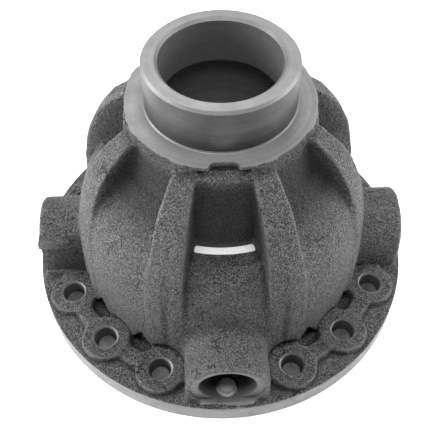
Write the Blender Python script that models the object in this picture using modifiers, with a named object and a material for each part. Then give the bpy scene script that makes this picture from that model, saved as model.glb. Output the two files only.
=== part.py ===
"""Bevel-gear differential: a ribbed cast case half, its lower half, and the gear set inside.

Metres, +Z along the axle axis.  Heights below are measured from the underside of the case flange;
one empty lifts the whole assembly, so that the lower journal's end face stands at Z = 0.
"""
import math

import bmesh
import bpy
from mathutils import Matrix

MM = 0.001

# ---- driving dimensions of the case, in metres ----
FLANGE_RADIUS = 124.0 * MM
FLANGE_TOP = 14.2 * MM
RIM_SEAT_RADIUS = 119.6 * MM
JOINT_FACE = 0.3 * MM
JOURNAL_RADIUS = 42.5 * MM
JOURNAL_LENGTH = 27.7 * MM
JOURNAL_CHAMFER = 1.4 * MM
JOURNAL_BORE = 33.5 * MM
COLLAR_RADIUS = 53.6 * MM
COLLAR_FACE = 149.1 * MM
COLLAR_THICKNESS = 2.8 * MM
TOP_FACE = COLLAR_FACE + JOURNAL_LENGTH
LOWER_SHOULDER = -50.3 * MM
BOTTOM_FACE = LOWER_SHOULDER - JOURNAL_LENGTH

# ---- gear set ----
GEAR_CENTRE = 30.0 * MM
SIDE_TEETH = 16
PINION_TEETH = 10
CONE_OUTER = 72.0 * MM
CONE_INNER = 50.0 * MM
PRESSURE_ANGLE = math.radians(25.0)
BACKLASH_ANGLE = math.radians(0.25)
MODULE = 2 * CONE_OUTER * math.sin(math.atan2(SIDE_TEETH, PINION_TEETH)) / SIDE_TEETH
PINION_ADDENDUM = 1.15 * MODULE
SIDE_ADDENDUM = 0.85 * MODULE
ROOT_CLEARANCE = 0.2 * MODULE
SEAT_RADIUS = 84.0 * MM
GEAR_POCKET_RADIUS = 68.0 * MM
THRUST_DISTANCE = 62.0 * MM
HUB_BORE = 36.0 * MM
WASHER_THICKNESS = 1.5 * MM
GAP = 0.25 * MM
SEAT_GAP = 0.55 * MM

# ---- pins, bosses, pads and fasteners ----
PIN_RADIUS = 16.7 * MM
PIN_BORE = 17.0 * MM
PIN_END = 101.2 * MM
BOSS_HALF_WIDTH = 25.0 * MM
BOSS_FACE = 118.5 * MM
SPOT_FACE_RADIUS = 22.5 * MM
SPOT_FACE_DEPTH = 1.5 * MM
BLOCK_HALF = 26.0 * MM
BOLT_CIRCLE = 106.3 * MM
BOLT_HOLE = 7.05 * MM
BOLT_SHANK = 6.7 * MM
BOLT_TIP = 10.0 * MM
PAD_RADIUS = 16.0 * MM
PAD_TOP = 18.4 * MM
PAD_BAND = (100.5 * MM, 112.0 * MM)
LOCK_CIRCLE = 108.5 * MM
LOCK_TIP = 15.5 * MM
LOWER_FLANGE_RADIUS = 119.0 * MM
LOWER_FLANGE_BOTTOM = -10.3 * MM
REGISTER_RADIUS = 86.0 * MM
REGISTER_DEPTH = 4.0 * MM

# ---- window pattern: angles from the middle of each window, in degrees ----
CHANNEL_EDGE = 15.5
RIB_EDGE = 29.0
SILL = 93.7 * MM
SLIT = (61.8 * MM, 67.2 * MM)

CASE_STEPS = 40
SIDES = ("front", "right", "back", "left")
SIDE_ANGLES = {"front": -90.0, "right": 0.0, "back": 90.0, "left": 180.0}

IRON = (0.105, 0.105, 0.108)
STEEL = (0.38, 0.38, 0.39)
HARDENED = (0.30, 0.30, 0.31)
BRONZE = (0.45, 0.30, 0.14)
PHOSPHATE = (0.09, 0.09, 0.095)
ZINC = (0.60, 0.61, 0.62)


# ---------------------------------------------------------------- helpers
def clear_scene():
    for item in list(bpy.data.objects):
        bpy.data.objects.remove(item, do_unlink=True)


def new_collection(name):
    group = bpy.data.collections.new(name)
    bpy.context.scene.collection.children.link(group)
    return group


def add_object(name, mesh, group):
    item = bpy.data.objects.new(name, mesh)
    group.objects.link(item)
    return item


def hide_cutter(item):
    item.hide_render = True
    item.display_type = "WIRE"
    return item


def finish(item, colour, roughness, metallic):
    material = bpy.data.materials.new(item.name + "_finish")
    material.use_nodes = True
    shader = material.node_tree.nodes["Principled BSDF"]
    shader.inputs["Base Color"].default_value = (*colour, 1.0)
    shader.inputs["Roughness"].default_value = roughness
    shader.inputs["Metallic"].default_value = metallic
    if not item.data.materials:
        item.data.materials.append(None)
    item.material_slots[0].link = "OBJECT"
    item.material_slots[0].material = material
    return item


def scaled(points):
    """Points given in millimetres, as metres."""
    return [(a * MM, b * MM) for a, b in points]


def arc(radius, centre, start, end, steps):
    """Profile points on a circle about (0, centre); angles in degrees from the +Z axis."""
    points = []
    for i in range(steps + 1):
        angle = math.radians(start + (end - start) * i / steps)
        points.append((radius * math.sin(angle), centre + radius * math.cos(angle)))
    return points


def turned(name, profile, steps, group):
    """A closed (radius, height) loop, running down its outer side, turned about Z."""
    mesh = bpy.data.meshes.new(name)
    count = len(profile)
    edges = [(i, (i + 1) % count) for i in range(count)]
    mesh.from_pydata([(r, 0.0, z) for r, z in profile], edges, [])
    item = add_object(name, mesh, group)
    screw = item.modifiers.new("Turn", "SCREW")
    screw.axis = "Z"
    screw.steps = steps
    screw.render_steps = steps
    screw.use_merge_vertices = True
    screw.merge_threshold = 0.00001
    screw.use_smooth_shade = False
    return item


def prism(name, outline, low, high, group):
    """A flat (x, y) outline, counter-clockwise, extruded from low to high along Z."""
    mesh = bpy.data.meshes.new(name)
    body = bmesh.new()
    base = body.faces.new([body.verts.new((x, y, low)) for x, y in outline])
    top = bmesh.ops.extrude_face_region(body, geom=[base])
    moved = [part for part in top["geom"] if isinstance(part, bmesh.types.BMVert)]
    bmesh.ops.translate(body, verts=moved, vec=(0.0, 0.0, high - low))
    bmesh.ops.recalc_face_normals(body, faces=body.faces)
    body.to_mesh(mesh)
    body.free()
    return add_object(name, mesh, group)


def rod(name, radius, low, high, sides, group, end_radius=None):
    """A cylinder or cone along Z, with its low end of the given radius."""
    mesh = bpy.data.meshes.new(name)
    body = bmesh.new()
    top_radius = radius if end_radius is None else end_radius
    place = Matrix.Translation((0.0, 0.0, (low + high) / 2))
    bmesh.ops.create_cone(body, cap_ends=True, segments=sides, radius1=radius,
                          radius2=top_radius, depth=high - low, matrix=place)
    body.to_mesh(mesh)
    body.free()
    return add_object(name, mesh, group)


def boolean(item, operation, other):
    change = item.modifiers.new(operation.title(), "BOOLEAN")
    change.operation = operation
    change.solver = "EXACT"
    if isinstance(other, bpy.types.Collection):
        change.operand_type = "COLLECTION"
        change.collection = other
    else:
        change.object = other
        hide_cutter(other)
    return item


def baked(item):
    """Replace the object's mesh with its evaluated one, welded, and drop the modifiers."""
    bpy.context.view_layer.update()
    graph = bpy.context.evaluated_depsgraph_get()
    mesh = bpy.data.meshes.new_from_object(item.evaluated_get(graph))
    item.modifiers.clear()
    body = bmesh.new()
    body.from_mesh(mesh)
    bmesh.ops.remove_doubles(body, verts=body.verts, dist=0.002 * MM)
    bmesh.ops.dissolve_degenerate(body, edges=body.edges, dist=0.002 * MM)
    bmesh.ops.dissolve_limit(body, angle_limit=math.radians(0.2), verts=body.verts, edges=body.edges)
    body.to_mesh(mesh)
    body.free()
    item.data = mesh
    return item


def smooth(item, angle=30.0):
    item.data.shade_smooth()
    item.data.set_sharp_from_angle(angle=math.radians(angle))
    return item


def placed(mesh, name, place, group):
    item = add_object(name, mesh, group)
    item.matrix_world = place
    return item


def about_z(degrees):
    return Matrix.Rotation(math.radians(degrees), 4, "Z")


def radial(degrees):
    """Local +Z points outward at this azimuth, local +Y stays level."""
    return about_z(degrees) @ Matrix.Rotation(math.pi / 2, 4, "Y")


def wedge_outline(half_angle, radius):
    """A level triangle fan outline from the axis, symmetric about +X."""
    points = [(0.0, 0.0)]
    for i in range(5):
        angle = math.radians(-half_angle + half_angle * i / 2)
        points.append((radius * math.cos(angle), radius * math.sin(angle)))
    return points


def sector(name, profile, half_angle, group):
    """Part of a turned ring, between two planes through the axis, symmetric about +X."""
    ring = turned(name, profile, CASE_STEPS, group)
    wedge = prism(name + "_wedge", wedge_outline(half_angle, 0.2), -0.2, 0.3, group)
    boolean(ring, "INTERSECT", wedge)
    baked(ring)
    bpy.data.objects.remove(wedge, do_unlink=True)
    return ring


# ---------------------------------------------------------------- flanged case
def rib_profile():
    """Outer side of the ribs, from the collar down to the flange."""
    return scaled([(53.6, 146.3), (64.0, 136.0), (71.5, 128.5), (78.0, 119.5), (83.0, 109.0),
                   (87.2, 97.0), (90.2, 82.0), (92.4, 62.0), (94.0, 14.2)])


def panel_profile():
    """Outer side of the bell between the ribs, from the collar down to where it meets the ribs."""
    return scaled([(52.6, 146.3), (53.6, 132.0), (58.0, 122.5), (67.0, 115.5), (76.0, 108.0),
                   (83.0, 98.0), (87.6, 86.0), (91.0, 70.0), (92.9, 57.0)])


def channel_profile():
    """Lip, recessed wall, slit, sill and apron of a window, from the collar down."""
    lip = scaled([(50.9, 146.3), (50.9, 144.0), (55.1, 139.9)])
    slit = [(SLIT[0], SILL), (SLIT[0], SILL - 6 * MM), (SLIT[1], SILL - 6 * MM), (SLIT[1], SILL)]
    apron = scaled([(78.0, 93.7), (82.5, 88.5), (88.5, 72.0), (92.6, 57.0)])
    return lip + slit + apron


def outside_cut(surface):
    """Closed loop between a surface's profile and a cylinder beyond the bell."""
    reach = 105.0 * MM
    return [(reach, surface[0][1]), (reach, surface[-1][1])] + surface[::-1]


def case_outer(group):
    profile = [(JOURNAL_RADIUS - JOURNAL_CHAMFER, TOP_FACE), (JOURNAL_RADIUS, TOP_FACE - JOURNAL_CHAMFER),
               (JOURNAL_RADIUS, COLLAR_FACE), (COLLAR_RADIUS, COLLAR_FACE)]
    profile += rib_profile()
    core = 20.0 * MM
    profile += [(FLANGE_RADIUS, FLANGE_TOP), (FLANGE_RADIUS, 0.0), (RIM_SEAT_RADIUS, 0.0),
                (RIM_SEAT_RADIUS, JOINT_FACE), (core, JOINT_FACE), (core, TOP_FACE)]
    return turned("flanged_case", profile, CASE_STEPS, group)


def case_cavity(group):
    top = TOP_FACE + 2.5 * MM
    chamfer = 1.5 * MM
    profile = [(JOURNAL_BORE + 2.5 * MM + chamfer, top), (JOURNAL_BORE, TOP_FACE - chamfer),
               (JOURNAL_BORE, 148.0 * MM), (38.5 * MM, 146.0 * MM), (38.5 * MM, 108.0 * MM),
               (HUB_BORE, 106.0 * MM), (HUB_BORE, GEAR_CENTRE + THRUST_DISTANCE),
               (GEAR_POCKET_RADIUS, GEAR_CENTRE + THRUST_DISTANCE)]
    start = math.degrees(math.asin(GEAR_POCKET_RADIUS / SEAT_RADIUS))
    end = math.degrees(math.acos((REGISTER_DEPTH - GEAR_CENTRE) / SEAT_RADIUS))
    profile += arc(SEAT_RADIUS, GEAR_CENTRE, start, end, 8)
    core = 10.0 * MM
    profile += [(REGISTER_RADIUS, REGISTER_DEPTH), (REGISTER_RADIUS, -5 * MM),
                (core, -5 * MM), (core, top)]
    return turned("case_cavity", profile, CASE_STEPS, group)


def boss_outline():
    """Square foot with a round top, in the plane across the cross bore."""
    low = 5.0 * MM
    points = [(BOSS_HALF_WIDTH, low), (BOSS_HALF_WIDTH, GEAR_CENTRE)]
    steps = 8
    for i in range(1, steps):
        angle = math.pi * i / steps
        points.append((BOSS_HALF_WIDTH * math.cos(angle),
                       GEAR_CENTRE + BOSS_HALF_WIDTH * math.sin(angle)))
    points += [(-BOSS_HALF_WIDTH, GEAR_CENTRE), (-BOSS_HALF_WIDTH, low)]
    return points


def spot_face_outline():
    """Circle round the cross bore, cut off just above the flange."""
    start = -math.asin((GEAR_CENTRE - FLANGE_TOP - 0.3 * MM) / SPOT_FACE_RADIUS)
    steps = 18
    turns = [start + (math.pi - 2 * start) * i / steps for i in range(steps + 1)]
    return [(SPOT_FACE_RADIUS * math.cos(a), GEAR_CENTRE + SPOT_FACE_RADIUS * math.sin(a)) for a in turns]


def upright(degrees):
    """Turns a prism drawn in (across, height) so that it runs outward at this azimuth."""
    stand = Matrix(((0, 0, 1, 0), (1, 0, 0, 0), (0, 1, 0, 0), (0, 0, 0, 1)))
    return about_z(degrees) @ stand


def bolt_azimuths():
    return [22.5 * i for i in range(16) if i % 4]


def pad_edge(offset):
    """Outer edge of the pad band, at this angle (degrees) from the nearest bolt."""
    angle = math.radians(offset)
    inside = PAD_RADIUS ** 2 - (BOLT_CIRCLE * math.sin(angle)) ** 2
    lobe = BOLT_CIRCLE * math.cos(angle) + math.sqrt(inside) if inside > 0 else 0.0
    return max(lobe, PAD_BAND[1])


def pad_band_outline():
    """Band through three bolt pads, from boss to boss, with a pit to the bell between the pads."""
    web, buried = 7.2, 88.0 * MM
    outer = [(12.0, PAD_BAND[1])]
    inner = [(12.0, PAD_BAND[0])]
    for bolt in (22.5, 45.0, 67.5):
        outer += [(bolt + d, pad_edge(d)) for d in (-7.9, -6.0, -3.2, 0.0, 3.2, 6.0, 7.9)]
        inner += [(bolt - web, PAD_BAND[0]), (bolt - web, buried),
                  (bolt + web, buried), (bolt + web, PAD_BAND[0])]
    outer.append((78.0, PAD_BAND[1]))
    inner.append((78.0, PAD_BAND[0]))
    loop = outer + inner[::-1]
    return [(r * math.cos(math.radians(a)), r * math.sin(math.radians(a))) for a, r in loop]


def case_additions(group):
    """Bosses for the cross bores, and the raised band of bolt pads."""
    boss = prism("boss", boss_outline(), 86.0 * MM, BOSS_FACE, group)
    boss.matrix_world = upright(0.0)
    for degrees in (90.0, 180.0, 270.0):
        placed(boss.data, "boss_copy", upright(degrees), group)
    pads = prism("pad_band", pad_band_outline(), 6.0 * MM, PAD_TOP, group)
    for degrees in (90.0, 180.0, 270.0):
        placed(pads.data, "pad_band_copy", about_z(degrees), group)


def case_windows(group):
    """Window channels, panels between the ribs, and a notch in the collar at front and back."""
    channel = sector("window_channel", outside_cut(channel_profile()), CHANNEL_EDGE, group)
    panel = sector("panel_recess", outside_cut(panel_profile()), 45.0 - RIB_EDGE, group)
    notch_outline = scaled([(49.0, -7.0), (59.0, -12.0), (59.0, 12.0), (49.0, 7.0)])
    notch = prism("collar_notch", notch_outline, 144.0 * MM, 152.0 * MM, group)
    notch.matrix_world = about_z(SIDE_ANGLES["front"])
    placed(notch.data, "notch_copy", about_z(SIDE_ANGLES["back"]), group)
    panel.matrix_world = about_z(45.0)
    for degrees in (90.0, 180.0, 270.0):
        placed(channel.data, "channel_copy", about_z(degrees), group)
        placed(panel.data, "panel_copy", about_z(degrees + 45.0), group)


def case_holes(group):
    """Cross bores with spot faces, locking holes and bolt holes."""
    bore = rod("cross_bore", PIN_BORE, 60 * MM, BOSS_FACE + 1.0 * MM, 24, group)
    spot = prism("spot_face", spot_face_outline(), BOSS_FACE - SPOT_FACE_DEPTH, 130 * MM, group)
    lock = rod("lock_hole", BOLT_HOLE, -5 * MM, GEAR_CENTRE, 12, group)
    hole = rod("bolt_hole", BOLT_HOLE, -5 * MM, 30 * MM, 12, group)
    chamfer_depth = 0.6 * MM
    mouth = rod("bolt_hole_chamfer", BOLT_HOLE - 0.4 * MM, PAD_TOP - chamfer_depth - 0.4 * MM,
                PAD_TOP + 1.0 * MM, 12, group, BOLT_HOLE + chamfer_depth + 1.0 * MM)
    lift = Matrix.Translation((0.0, 0.0, GEAR_CENTRE))
    for index, degrees in enumerate((0.0, 90.0, 180.0, 270.0)):
        across = lift @ radial(degrees)
        down = about_z(degrees) @ Matrix.Translation((LOCK_CIRCLE, 0.0, 0.0))
        for item, place in ((bore, across), (spot, upright(degrees)), (lock, down)):
            if index == 0:
                item.matrix_world = place
            else:
                placed(item.data, item.name + "_copy", place, group)
    for index, degrees in enumerate(bolt_azimuths()):
        place = about_z(degrees) @ Matrix.Translation((BOLT_CIRCLE, 0.0, 0.0))
        for item in (hole, mouth):
            if index == 0:
                item.matrix_world = place
            else:
                placed(item.data, item.name + "_copy", place, group)


def build_flanged_case(parts, cutters):
    case = case_outer(parts)
    groups = {}
    for name in ("case_windows", "case_additions", "case_holes"):
        groups[name] = bpy.data.collections.new(name)
        cutters.children.link(groups[name])
    case_windows(groups["case_windows"])
    case_additions(groups["case_additions"])
    case_holes(groups["case_holes"])
    for operation, other in (("DIFFERENCE", groups["case_windows"]), ("UNION", groups["case_additions"]),
                             ("DIFFERENCE", case_cavity(cutters)), ("DIFFERENCE", groups["case_holes"])):
        baked(boolean(case, operation, other))
    return finish(smooth(case), IRON, 0.75, 0.35)


# ---------------------------------------------------------------- lower case
def build_lower_case(parts, cutters):
    lip_top = REGISTER_DEPTH - 0.4 * MM
    lip_radius = REGISTER_RADIUS - 0.4 * MM
    floor = GEAR_CENTRE - THRUST_DISTANCE
    first = math.degrees(math.acos((lip_top - GEAR_CENTRE) / SEAT_RADIUS))
    last = 180.0 - math.degrees(math.asin(GEAR_POCKET_RADIUS / SEAT_RADIUS))
    profile = [(lip_radius, lip_top), (lip_radius, 0.0), (LOWER_FLANGE_RADIUS, 0.0),
               (LOWER_FLANGE_RADIUS, LOWER_FLANGE_BOTTOM)]
    profile += scaled([(92.5, -10.3), (90.5, -15.0), (86.0, -25.0), (77.0, -36.5), (66.0, -43.5)])
    profile += [(COLLAR_RADIUS, LOWER_SHOULDER + COLLAR_THICKNESS), (COLLAR_RADIUS, LOWER_SHOULDER),
                (JOURNAL_RADIUS, LOWER_SHOULDER), (JOURNAL_RADIUS, BOTTOM_FACE + JOURNAL_CHAMFER),
                (JOURNAL_RADIUS - JOURNAL_CHAMFER, BOTTOM_FACE), (JOURNAL_BORE + 1.5 * MM, BOTTOM_FACE),
                (JOURNAL_BORE, BOTTOM_FACE + 1.5 * MM), (JOURNAL_BORE, -48.0 * MM),
                (HUB_BORE, -46.0 * MM), (HUB_BORE, floor), (GEAR_POCKET_RADIUS, floor)]
    profile += arc(SEAT_RADIUS, GEAR_CENTRE, last, first, 4)
    case = turned("lower_case", profile, CASE_STEPS, parts)

    webs = bpy.data.collections.new("lower_webs")
    cutters.children.link(webs)
    web_outline = scaled([(52.0, -49.8), (66.0, -48.6), (78.0, -43.5), (88.0, -33.0), (93.0, -17.0),
                          (93.0, -9.0), (84.0, -9.0), (70.0, -35.0), (50.0, -42.0)])
    web = prism("lower_web", web_outline, -5.0 * MM, 5.0 * MM, webs)
    stand = Matrix(((1, 0, 0, 0), (0, 0, -1, 0), (0, 1, 0, 0), (0, 0, 0, 1)))
    web.matrix_world = stand
    for i in range(1, 8):
        placed(web.data, "lower_web_copy", about_z(45.0 * i) @ stand, webs)

    holes = bpy.data.collections.new("lower_holes")
    cutters.children.link(holes)
    hole = rod("lower_bolt_hole", BOLT_HOLE + 0.2 * MM, -20 * MM, 5 * MM, 12, holes)
    azimuths = bolt_azimuths()
    hole.matrix_world = about_z(azimuths[0]) @ Matrix.Translation((BOLT_CIRCLE, 0.0, 0.0))
    for degrees in azimuths[1:]:
        placed(hole.data, "lower_hole_copy",
               about_z(degrees) @ Matrix.Translation((BOLT_CIRCLE, 0.0, 0.0)), holes)
    boolean(case, "UNION", webs)
    boolean(case, "DIFFERENCE", holes)
    baked(case)
    return finish(smooth(case), IRON, 0.75, 0.35)


# ---------------------------------------------------------------- bevel gears
def spherical_involute(cone_angle, base_angle):
    """Azimuth by which a spherical involute from base_angle has turned at cone_angle."""
    if cone_angle <= base_angle:
        return 0.0
    length = math.acos(math.cos(cone_angle) / math.cos(base_angle))
    return length / math.sin(base_angle) - math.atan2(math.tan(length), math.sin(base_angle))


def tooth_flank(teeth, pitch_angle, tip_angle, root_angle):
    """(cone angle, half width in azimuth) pairs, from root to tip."""
    base_angle = math.asin(math.sin(pitch_angle) * math.cos(PRESSURE_ANGLE))
    pitch_half = math.pi / (2 * teeth) - BACKLASH_ANGLE
    at_base = pitch_half + spherical_involute(pitch_angle, base_angle)
    lowest = max(base_angle, root_angle)
    flank = [] if base_angle <= root_angle else [(root_angle, at_base)]
    steps = 3
    for i in range(steps + 1):
        angle = lowest + (tip_angle - lowest) * i / steps
        flank.append((angle, at_base - spherical_involute(angle, base_angle)))
    return flank


def toothed_cone(name, teeth, flank, first_tooth, group):
    """A star-shaped cone through the tooth outline, reaching past the gear at both ends."""
    outline = []
    for k in range(teeth):
        middle = first_tooth + 2 * math.pi * k / teeth
        outline += [(angle, middle - half) for angle, half in flank]
        outline += [(angle, middle + half) for angle, half in flank[::-1]]
    near_distance = CONE_INNER * 0.6
    far_distance = CONE_OUTER * 1.6
    body = bmesh.new()
    rings = []
    for distance in (near_distance, far_distance):
        ring = []
        for angle, azimuth in outline:
            across = distance * math.sin(angle)
            ring.append(body.verts.new((across * math.cos(azimuth), across * math.sin(azimuth),
                                        distance * math.cos(angle))))
        rings.append(ring)
    near = body.verts.new((0.0, 0.0, 0.0))
    far = body.verts.new((0.0, 0.0, far_distance * 1.4))
    count = len(outline)
    for i in range(count):
        j = (i + 1) % count
        body.faces.new((rings[0][i], rings[0][j], rings[1][j], rings[1][i]))
        body.faces.new((near, rings[0][j], rings[0][i]))
        body.faces.new((far, rings[1][i], rings[1][j]))
    bmesh.ops.recalc_face_normals(body, faces=body.faces)
    mesh = bpy.data.meshes.new(name)
    body.to_mesh(mesh)
    body.free()
    return add_object(name, mesh, group)


def on_cone(distance, angle):
    return (distance * math.sin(angle), distance * math.cos(angle))


def gear_angles(own_teeth, mate_teeth, addendum, mate_addendum):
    pitch = math.atan2(own_teeth, mate_teeth)
    tip = pitch + math.atan2(addendum, CONE_OUTER)
    root = pitch - math.atan2(mate_addendum + ROOT_CLEARANCE, CONE_OUTER)
    return pitch, tip, root


def cut_teeth(blank, teeth, angles, first_tooth, group):
    pitch, tip, root = angles
    flank = tooth_flank(teeth, pitch, tip, root)
    star = toothed_cone(blank.name + "_star", teeth, flank, first_tooth, group)
    boolean(blank, "INTERSECT", star)


def spline_outline(teeth, minor, major):
    """Internal spline: wide grooves between narrow lands."""
    points = []
    for k in range(teeth):
        middle = 2 * math.pi * k / teeth
        pitch = 2 * math.pi / teeth
        for offset, radius in ((-0.30, minor), (-0.20, major), (0.20, major), (0.30, minor)):
            angle = middle + offset * pitch
            points.append((radius * math.cos(angle), radius * math.sin(angle)))
    return points


def side_gear_mesh(group):
    angles = gear_angles(SIDE_TEETH, PINION_TEETH, SIDE_ADDENDUM, PINION_ADDENDUM)
    root = angles[2]
    over = angles[1] + math.radians(3.0)
    back = THRUST_DISTANCE - WASHER_THICKNESS - 2 * GAP
    hub_end = 70.0 * MM
    hub = HUB_BORE - 0.3 * MM
    minor, major = 22.3 * MM, 24.5 * MM
    back_radius = 65.5 * MM
    profile = [(hub, hub_end), (hub, back), (back_radius - 1.5 * MM, back),
               (back_radius, back - 1.5 * MM), (back_radius, 56.5 * MM),
               on_cone(CONE_OUTER, root - math.radians(0.6)),
               on_cone(CONE_OUTER, over), on_cone(CONE_INNER, over),
               on_cone(CONE_INNER, root - math.radians(0.6)),
               (minor, CONE_INNER * math.cos(root) + 1.5 * MM), (minor, hub_end)]
    gear = turned("side_gear", profile, 2 * SIDE_TEETH, group)
    cut_teeth(gear, SIDE_TEETH, angles, 0.0, group)
    spline = prism("spline", spline_outline(20, minor - 1.0 * MM, major), 20 * MM, 80 * MM, group)
    boolean(gear, "DIFFERENCE", spline)
    return smooth(baked(gear)).data


def pinion_mesh(group):
    angles = gear_angles(PINION_TEETH, SIDE_TEETH, PINION_ADDENDUM, SIDE_ADDENDUM)
    root = angles[2]
    over = angles[1] + math.radians(3.0)
    back = SEAT_RADIUS - SEAT_GAP - WASHER_THICKNESS - GAP
    hub = 32.0 * MM
    bore = PIN_RADIUS + 0.3 * MM
    low = math.degrees(math.asin(bore / back))
    high = math.degrees(math.asin(hub / back))
    profile = arc(back, 0.0, low, high, 2)
    profile += [(hub, 68.5 * MM), on_cone(CONE_OUTER, root - math.radians(0.8)),
                on_cone(CONE_OUTER, over), on_cone(CONE_INNER, over),
                on_cone(CONE_INNER, root - math.radians(0.8)),
                (bore, CONE_INNER * math.cos(root) + 0.5 * MM)]
    gear = turned("pinion", profile, 2 * PINION_TEETH, group)
    cut_teeth(gear, PINION_TEETH, angles, math.pi / PINION_TEETH, group)
    return smooth(baked(gear)).data


def build_gears(parts, cutters):
    side = side_gear_mesh(cutters)
    pinion = pinion_mesh(cutters)
    centre = Matrix.Translation((0.0, 0.0, GEAR_CENTRE))
    flipped = Matrix.Rotation(math.pi, 4, "X")
    finish(placed(side, "upper_side_gear", centre, parts), STEEL, 0.35, 1.0)
    finish(placed(side, "lower_side_gear", centre @ flipped, parts), STEEL, 0.35, 1.0)
    for name in SIDES:
        place = centre @ radial(SIDE_ANGLES[name])
        finish(placed(pinion, "pinion_" + name, place, parts), STEEL, 0.35, 1.0)


# ---------------------------------------------------------------- washers, pins and fasteners
def build_washers(parts, cutters):
    top = THRUST_DISTANCE - GAP
    inner, outer = 37.0 * MM, GEAR_POCKET_RADIUS - 0.8 * MM
    flat = turned("flat_washer", [(outer, top), (outer, top - WASHER_THICKNESS),
                                  (inner, top - WASHER_THICKNESS), (inner, top)], 32, cutters)
    baked(flat)
    smooth(flat)
    centre = Matrix.Translation((0.0, 0.0, GEAR_CENTRE))
    flipped = Matrix.Rotation(math.pi, 4, "X")
    finish(placed(flat.data, "upper_thrust_washer", centre, parts), HARDENED, 0.3, 1.0)
    finish(placed(flat.data, "lower_thrust_washer", centre @ flipped, parts), HARDENED, 0.3, 1.0)

    outside = SEAT_RADIUS - SEAT_GAP
    inside = outside - WASHER_THICKNESS
    hole, rim = PIN_RADIUS + 0.5 * MM, 34.0 * MM
    profile = arc(outside, 0.0, math.degrees(math.asin(hole / outside)),
                  math.degrees(math.asin(rim / outside)), 2)
    profile += arc(inside, 0.0, math.degrees(math.asin(rim / inside)),
                   math.degrees(math.asin(hole / inside)), 2)
    dished = turned("dished_washer", profile, 24, cutters)
    baked(dished)
    smooth(dished)
    for name in SIDES:
        place = centre @ radial(SIDE_ANGLES[name])
        finish(placed(dished.data, "pinion_washer_" + name, place, parts), BRONZE, 0.4, 0.9)


def chamfered_rod(name, low, high, group):
    """A pin along Z, with a chamfer at both ends and small centre holes, as turned between centres."""
    centre_hole, depth = 3.0 * MM, 5.0 * MM
    pin = rod(name, PIN_RADIUS, low, high, 24, group)
    bevel = pin.modifiers.new("Chamfer", "BEVEL")
    bevel.width = 1.2 * MM
    bevel.segments = 1
    bevel.limit_method = "ANGLE"
    bevel.angle_limit = math.radians(60.0)
    upper = rod(name + "_upper_centre", 0.5 * MM, high - depth, high + 1 * MM, 12, group,
                centre_hole + 0.6 * MM)
    boolean(pin, "DIFFERENCE", upper)
    baked(pin)
    bpy.data.objects.remove(upper, do_unlink=True)
    return smooth(pin)


def build_pins(parts, cutters):
    centre = Matrix.Translation((0.0, 0.0, GEAR_CENTRE))
    long_pin = chamfered_rod("long_pin", -PIN_END, PIN_END, cutters)
    short_pin = chamfered_rod("short_pin", PIN_RADIUS + 0.5 * MM, PIN_END, cutters)
    pins = (("long_cross_pin", long_pin, "front"), ("short_cross_pin_right", short_pin, "right"),
            ("short_cross_pin_left", short_pin, "left"))
    for name, source, side in pins:
        item = placed(source.data, name, centre @ radial(SIDE_ANGLES[side]), parts)
        finish(item, HARDENED, 0.3, 1.0)

    mesh = bpy.data.meshes.new("cross_pin_block")
    body = bmesh.new()
    bmesh.ops.create_cube(body, size=2 * BLOCK_HALF)
    body.to_mesh(mesh)
    body.free()
    block = add_object("cross_pin_block", mesh, parts)
    block.matrix_world = centre
    bevel = block.modifiers.new("Edges", "BEVEL")
    bevel.width = 3.0 * MM
    bevel.segments = 1
    for degrees in (0.0, 90.0):
        bore = rod("block_bore", PIN_BORE, -40 * MM, 40 * MM, 24, cutters)
        bore.matrix_world = centre @ radial(degrees)
        boolean(block, "DIFFERENCE", bore)
    baked(block)
    finish(smooth(block), HARDENED, 0.45, 1.0)


def bolt_mesh(group):
    """Hexagon bolt along +Z: head below the lower flange, shank up into the tapped pad."""
    seat = LOWER_FLANGE_BOTTOM - 0.3 * MM
    head_height = 8.4 * MM
    head_radius = 10.5 * MM / math.cos(math.pi / 6)
    head = rod("bolt_head", head_radius, seat - head_height, seat, 6, group)
    shank = rod("bolt_shank", BOLT_SHANK, seat - 2 * MM, BOLT_TIP - 1.5 * MM, 12, group)
    tip = rod("bolt_tip", BOLT_SHANK, BOLT_TIP - 1.6 * MM, BOLT_TIP, 12, group, BOLT_SHANK - 1.4 * MM)
    boolean(head, "UNION", shank)
    boolean(head, "UNION", tip)
    baked(head)
    smooth(head)
    return head.data


def lock_screw_mesh(group):
    """Socket set screw along +Z, its socket down and its chamfered tip in the cross bore."""
    low = 0.8 * MM
    screw = rod("lock_screw", BOLT_SHANK, low, LOCK_TIP - 1.2 * MM, 12, group)
    tip = rod("lock_tip", BOLT_SHANK, LOCK_TIP - 1.3 * MM, LOCK_TIP, 12, group, BOLT_SHANK - 1.2 * MM)
    socket = rod("lock_socket", 3.5 * MM, low - 2 * MM, low + 7 * MM, 6, group)
    boolean(screw, "UNION", tip)
    boolean(screw, "DIFFERENCE", socket)
    baked(screw)
    smooth(screw)
    return screw.data


def build_fasteners(parts, cutters):
    bolt = bolt_mesh(cutters)
    for number, degrees in enumerate(bolt_azimuths(), start=1):
        place = about_z(degrees) @ Matrix.Translation((BOLT_CIRCLE, 0.0, 0.0))
        finish(placed(bolt, "flange_bolt_%02d" % number, place, parts), PHOSPHATE, 0.4, 0.9)
    screw = lock_screw_mesh(cutters)
    for name in SIDES:
        place = about_z(SIDE_ANGLES[name]) @ Matrix.Translation((LOCK_CIRCLE, 0.0, 0.0))
        finish(placed(screw, "lock_screw_" + name, place, parts), ZINC, 0.35, 1.0)


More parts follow.
